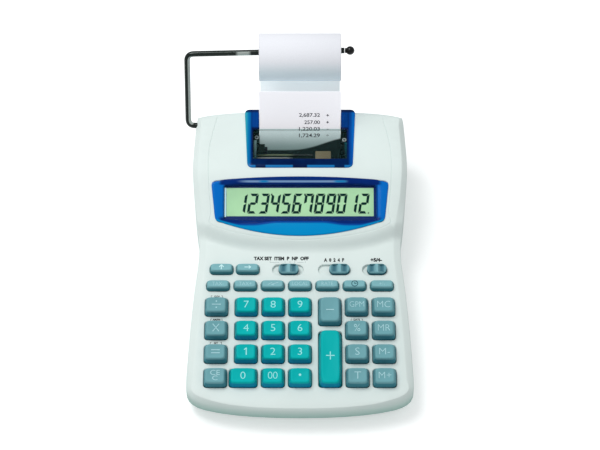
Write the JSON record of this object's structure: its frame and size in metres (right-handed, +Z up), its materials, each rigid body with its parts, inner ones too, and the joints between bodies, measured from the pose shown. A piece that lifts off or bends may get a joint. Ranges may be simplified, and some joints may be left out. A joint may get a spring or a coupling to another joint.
{
  "type": "desktop printing calculator",
  "caption": "Desktop printing calculator with a sloping keyboard, liquid crystal display, roller printer and a paper roll on a folding wire arm.",
  "frame": {"origin": "middle of the object's footprint box, on the plane it stands on", "axes": "+X to the user's right, +Y from the user to the rear, +Z up"},
  "size_m": [0.1576, 0.2556, 0.1133],
  "materials": {
    "case": "fine satin moulded ABS, cool white",
    "case_base": "fine satin moulded ABS, slightly darker white",
    "grey_key": "satin moulded plastic, grey blue",
    "teal_key": "satin moulded plastic, teal",
    "tinted_blue": "polished translucent blue",
    "clear_window": "clear polished plastic",
    "lcd": "pale green reflective liquid crystal panel",
    "circuit_board": "green solder resist on glass fibre board",
    "key_mat": "moulded silicone rubber",
    "printer_frame": "black glass-filled plastic",
    "black_rubber": "ground rubber roller",
    "tan_plastic": "tan moulded plastic",
    "steel": "ground steel rod",
    "ink_foam": "ink-soaked foam rubber",
    "paper": "uncoated printing paper",
    "chrome_wire": "dark bright-plated steel wire",
    "black_plastic": "gloss black moulded plastic",
    "foot_rubber": "soft matt rubber"
  },
  "bodies": {
    "case": {"upper_case": "case", "lower_case": "case_base", "display_bezel": "tinted_blue", "display_window": "clear_window", "lcd_glass": "lcd", "circuit_board": "circuit_board", "key_mat": "key_mat", "printer_frame": "printer_frame", "carriage_shaft": "steel", "paper_tape": "paper", "front_foot": "foot_rubber", "rear_foot": "foot_rubber", "dc_socket": "black_plastic"},
    "arm": {"roll_holder_arm": "chrome_wire", "arm_knob": "black_plastic"},
    "roll": {"paper_roll": "paper"},
    "platen": {"feed_roller": "black_rubber"},
    "ink": {"ink_roller": "ink_foam"},
    "head": {"print_head": "tan_plastic"},
    "cover": {"printer_cover": "tinted_blue", "tear_window": "clear_window"},
    "door": {"battery_door": "case_base"},
    "print_mode_knob": {"print_mode_switch": "grey_key"},
    "decimal_knob": {"decimal_switch": "grey_key"},
    "rounding_knob": {"rounding_switch": "grey_key"},
    "key_divide_cap": {"key_divide": "grey_key"},
    "key_7_cap": {"key_7": "teal_key"},
    "key_8_cap": {"key_8": "teal_key"},
    "key_9_cap": {"key_9": "teal_key"},
    "key_margin_cap": {"key_margin": "grey_key"},
    "key_memory_clear_cap": {"key_memory_clear": "grey_key"},
    "key_multiply_cap": {"key_multiply": "grey_key"},
    "key_4_cap": {"key_4": "teal_key"},
    "key_5_cap": {"key_5": "teal_key"},
    "key_6_cap": {"key_6": "teal_key"},
    "key_percent_cap": {"key_percent": "grey_key"},
    "key_memory_recall_cap": {"key_memory_recall": "grey_key"},
    "key_equals_cap": {"key_equals": "grey_key"},
    "key_1_cap": {"key_1": "teal_key"},
    "key_2_cap": {"key_2": "teal_key"},
    "key_3_cap": {"key_3": "teal_key"},
    "key_subtotal_cap": {"key_subtotal": "grey_key"},
    "key_memory_minus_cap": {"key_memory_minus": "grey_key"},
    "key_clear_cap": {"key_clear": "grey_key"},
    "key_00_cap": {"key_00": "teal_key"},
    "key_point_cap": {"key_point": "teal_key"},
    "key_total_cap": {"key_total": "grey_key"},
    "key_memory_plus_cap": {"key_memory_plus": "grey_key"},
    "key_0_cap": {"key_0": "teal_key"},
    "key_minus_cap": {"key_minus": "grey_key"},
    "key_plus_cap": {"key_plus": "teal_key"},
    "key_tax_minus_cap": {"key_tax_minus": "grey_key"},
    "key_tax_plus_cap": {"key_tax_plus": "grey_key"},
    "key_convert_cap": {"key_convert": "grey_key"},
    "key_local_cap": {"key_local": "grey_key"},
    "key_rate_cap": {"key_rate": "grey_key"},
    "key_clock_cap": {"key_clock": "grey_key"},
    "key_sign_cap": {"key_sign": "grey_key"},
    "key_paper_feed_cap": {"key_paper_feed": "grey_key"},
    "key_backspace_cap": {"key_backspace": "grey_key"}
  },
  "joints": [
    {"name": "arm_swing", "type": "hinge", "parent": "case", "child": "arm", "pos_m": [0.00211, 0.08216, 0.0547], "axis": [1, 0, 0], "range_deg": [-50, 0], "deforming": ["paper_tape"]},
    {"name": "roll_spin", "type": "hinge", "parent": "arm", "child": "roll", "pos_m": [0, 0.11058, 0.0968], "axis": [1, 0, 0], "continuous": true},
    {"name": "feed_roller_spin", "type": "hinge", "parent": "case", "child": "platen", "pos_m": [0, 0.07483, 0.03193], "axis": [1, 0, 0], "continuous": true},
    {"name": "ink_roller_spin", "type": "hinge", "parent": "case", "child": "ink", "pos_m": [-0.025, 0.06539, 0.046], "axis": [1, 0, 0], "continuous": true},
    {"name": "print_head_travel", "type": "slide", "parent": "case", "child": "head", "axis": [1, 0, 0], "range_m": [-0.031, 0.009]},
    {"name": "cover_lift", "type": "slide", "parent": "case", "child": "cover", "axis": [0, 0.2924, 0.9563], "range_m": [0, 0.02]},
    {"name": "battery_door_release", "type": "slide", "parent": "case", "child": "door", "axis": [0, 0, -1], "range_m": [0, 0.015]},
    {"name": "print_mode_slide", "type": "slide", "parent": "case", "child": "print_mode_knob", "axis": [1, 0, 0], "range_m": [-0.0038, 0.0028]},
    {"name": "decimal_slide", "type": "slide", "parent": "case", "child": "decimal_knob", "axis": [1, 0, 0], "range_m": [-0.0072, 0]},
    {"name": "rounding_slide", "type": "slide", "parent": "case", "child": "rounding_knob", "axis": [1, 0, 0], "range_m": [-0.0028, 0]},
    {"name": "key_divide_press", "type": "slide", "parent": "case", "child": "key_divide_cap", "axis": [0, 0.1045, -0.9945], "range_m": [0, 0.0025], "stiffness_N_per_m": 150, "springref_m": -0.002},
    {"name": "key_7_press", "type": "slide", "parent": "case", "child": "key_7_cap", "axis": [0, 0.1045, -0.9945], "range_m": [0, 0.0025], "stiffness_N_per_m": 150, "springref_m": -0.002},
    {"name": "key_8_press", "type": "slide", "parent": "case", "child": "key_8_cap", "axis": [0, 0.1045, -0.9945], "range_m": [0, 0.0025], "stiffness_N_per_m": 150, "springref_m": -0.002},
    {"name": "key_9_press", "type": "slide", "parent": "case", "child": "key_9_cap", "axis": [0, 0.1045, -0.9945], "range_m": [0, 0.0025], "stiffness_N_per_m": 150, "springref_m": -0.002},
    {"name": "key_margin_press", "type": "slide", "parent": "case", "child": "key_margin_cap", "axis": [0, 0.1045, -0.9945], "range_m": [0, 0.0025], "stiffness_N_per_m": 150, "springref_m": -0.002},
    {"name": "key_memory_clear_press", "type": "slide", "parent": "case", "child": "key_memory_clear_cap", "axis": [0, 0.1045, -0.9945], "range_m": [0, 0.0025], "stiffness_N_per_m": 150, "springref_m": -0.002},
    {"name": "key_multiply_press", "type": "slide", "parent": "case", "child": "key_multiply_cap", "axis": [0, 0.1045, -0.9945], "range_m": [0, 0.0025], "stiffness_N_per_m": 150, "springref_m": -0.002},
    {"name": "key_4_press", "type": "slide", "parent": "case", "child": "key_4_cap", "axis": [0, 0.1045, -0.9945], "range_m": [0, 0.0025], "stiffness_N_per_m": 150, "springref_m": -0.002},
    {"name": "key_5_press", "type": "slide", "parent": "case", "child": "key_5_cap", "axis": [0, 0.1045, -0.9945], "range_m": [0, 0.0025], "stiffness_N_per_m": 150, "springref_m": -0.002},
    {"name": "key_6_press", "type": "slide", "parent": "case", "child": "key_6_cap", "axis": [0, 0.1045, -0.9945], "range_m": [0, 0.0025], "stiffness_N_per_m": 150, "springref_m": -0.002},
    {"name": "key_percent_press", "type": "slide", "parent": "case", "child": "key_percent_cap", "axis": [0, 0.1045, -0.9945], "range_m": [0, 0.0025], "stiffness_N_per_m": 150, "springref_m": -0.002},
    {"name": "key_memory_recall_press", "type": "slide", "parent": "case", "child": "key_memory_recall_cap", "axis": [0, 0.1045, -0.9945], "range_m": [0, 0.0025], "stiffness_N_per_m": 150, "springref_m": -0.002},
    {"name": "key_equals_press", "type": "slide", "parent": "case", "child": "key_equals_cap", "axis": [0, 0.1045, -0.9945], "range_m": [0, 0.0025], "stiffness_N_per_m": 150, "springref_m": -0.002},
    {"name": "key_1_press", "type": "slide", "parent": "case", "child": "key_1_cap", "axis": [0, 0.1045, -0.9945], "range_m": [0, 0.0025], "stiffness_N_per_m": 150, "springref_m": -0.002},
    {"name": "key_2_press", "type": "slide", "parent": "case", "child": "key_2_cap", "axis": [0, 0.1045, -0.9945], "range_m": [0, 0.0025], "stiffness_N_per_m": 150, "springref_m": -0.002},
    {"name": "key_3_press", "type": "slide", "parent": "case", "child": "key_3_cap", "axis": [0, 0.1045, -0.9945], "range_m": [0, 0.0025], "stiffness_N_per_m": 150, "springref_m": -0.002},
    {"name": "key_subtotal_press", "type": "slide", "parent": "case", "child": "key_subtotal_cap", "axis": [0, 0.1045, -0.9945], "range_m": [0, 0.0025], "stiffness_N_per_m": 150, "springref_m": -0.002},
    {"name": "key_memory_minus_press", "type": "slide", "parent": "case", "child": "key_memory_minus_cap", "axis": [0, 0.1045, -0.9945], "range_m": [0, 0.0025], "stiffness_N_per_m": 150, "springref_m": -0.002},
    {"name": "key_clear_press", "type": "slide", "parent": "case", "child": "key_clear_cap", "axis": [0, 0.1045, -0.9945], "range_m": [0, 0.0025], "stiffness_N_per_m": 150, "springref_m": -0.002},
    {"name": "key_00_press", "type": "slide", "parent": "case", "child": "key_00_cap", "axis": [0, 0.1045, -0.9945], "range_m": [0, 0.0025], "stiffness_N_per_m": 150, "springref_m": -0.002},
    {"name": "key_point_press", "type": "slide", "parent": "case", "child": "key_point_cap", "axis": [0, 0.1045, -0.9945], "range_m": [0, 0.0025], "stiffness_N_per_m": 150, "springref_m": -0.002},
    {"name": "key_total_press", "type": "slide", "parent": "case", "child": "key_total_cap", "axis": [0, 0.1045, -0.9945], "range_m": [0, 0.0025], "stiffness_N_per_m": 150, "springref_m": -0.002},
    {"name": "key_memory_plus_press", "type": "slide", "parent": "case", "child": "key_memory_plus_cap", "axis": [0, 0.1045, -0.9945], "range_m": [0, 0.0025], "stiffness_N_per_m": 150, "springref_m": -0.002},
    {"name": "key_0_press", "type": "slide", "parent": "case", "child": "key_0_cap", "axis": [0, 0.1045, -0.9945], "range_m": [0, 0.0025], "stiffness_N_per_m": 150, "springref_m": -0.002},
    {"name": "key_minus_press", "type": "slide", "parent": "case", "child": "key_minus_cap", "axis": [0, 0.1045, -0.9945], "range_m": [0, 0.0025], "stiffness_N_per_m": 150, "springref_m": -0.002},
    {"name": "key_plus_press", "type": "slide", "parent": "case", "child": "key_plus_cap", "axis": [0, 0.1045, -0.9945], "range_m": [0, 0.0025], "stiffness_N_per_m": 150, "springref_m": -0.002},
    {"name": "key_tax_minus_press", "type": "slide", "parent": "case", "child": "key_tax_minus_cap", "axis": [0, 0.1045, -0.9945], "range_m": [0, 0.0025], "stiffness_N_per_m": 150, "springref_m": -0.002},
    {"name": "key_tax_plus_press", "type": "slide", "parent": "case", "child": "key_tax_plus_cap", "axis": [0, 0.1045, -0.9945], "range_m": [0, 0.0025], "stiffness_N_per_m": 150, "springref_m": -0.002},
    {"name": "key_convert_press", "type": "slide", "parent": "case", "child": "key_convert_cap", "axis": [0, 0.1045, -0.9945], "range_m": [0, 0.0025], "stiffness_N_per_m": 150, "springref_m": -0.002},
    {"name": "key_local_press", "type": "slide", "parent": "case", "child": "key_local_cap", "axis": [0, 0.1045, -0.9945], "range_m": [0, 0.0025], "stiffness_N_per_m": 150, "springref_m": -0.002},
    {"name": "key_rate_press", "type": "slide", "parent": "case", "child": "key_rate_cap", "axis": [0, 0.1045, -0.9945], "range_m": [0, 0.0025], "stiffness_N_per_m": 150, "springref_m": -0.002},
    {"name": "key_clock_press", "type": "slide", "parent": "case", "child": "key_clock_cap", "axis": [0, 0.1045, -0.9945], "range_m": [0, 0.0025], "stiffness_N_per_m": 150, "springref_m": -0.002},
    {"name": "key_sign_press", "type": "slide", "parent": "case", "child": "key_sign_cap", "axis": [0, 0.1045, -0.9945], "range_m": [0, 0.0025], "stiffness_N_per_m": 150, "springref_m": -0.002},
    {"name": "key_paper_feed_press", "type": "slide", "parent": "case", "child": "key_paper_feed_cap", "axis": [0, 0.1045, -0.9945], "range_m": [0, 0.0025], "stiffness_N_per_m": 150, "springref_m": -0.002},
    {"name": "key_backspace_press", "type": "slide", "parent": "case", "child": "key_backspace_cap", "axis": [0, 0.1045, -0.9945], "range_m": [0, 0.0025], "stiffness_N_per_m": 150, "springref_m": -0.002}
  ],
  "couplings": [
    {"joint": "feed_roller_spin", "follows": "roll_spin", "ratio": 2.7667}
  ]
}
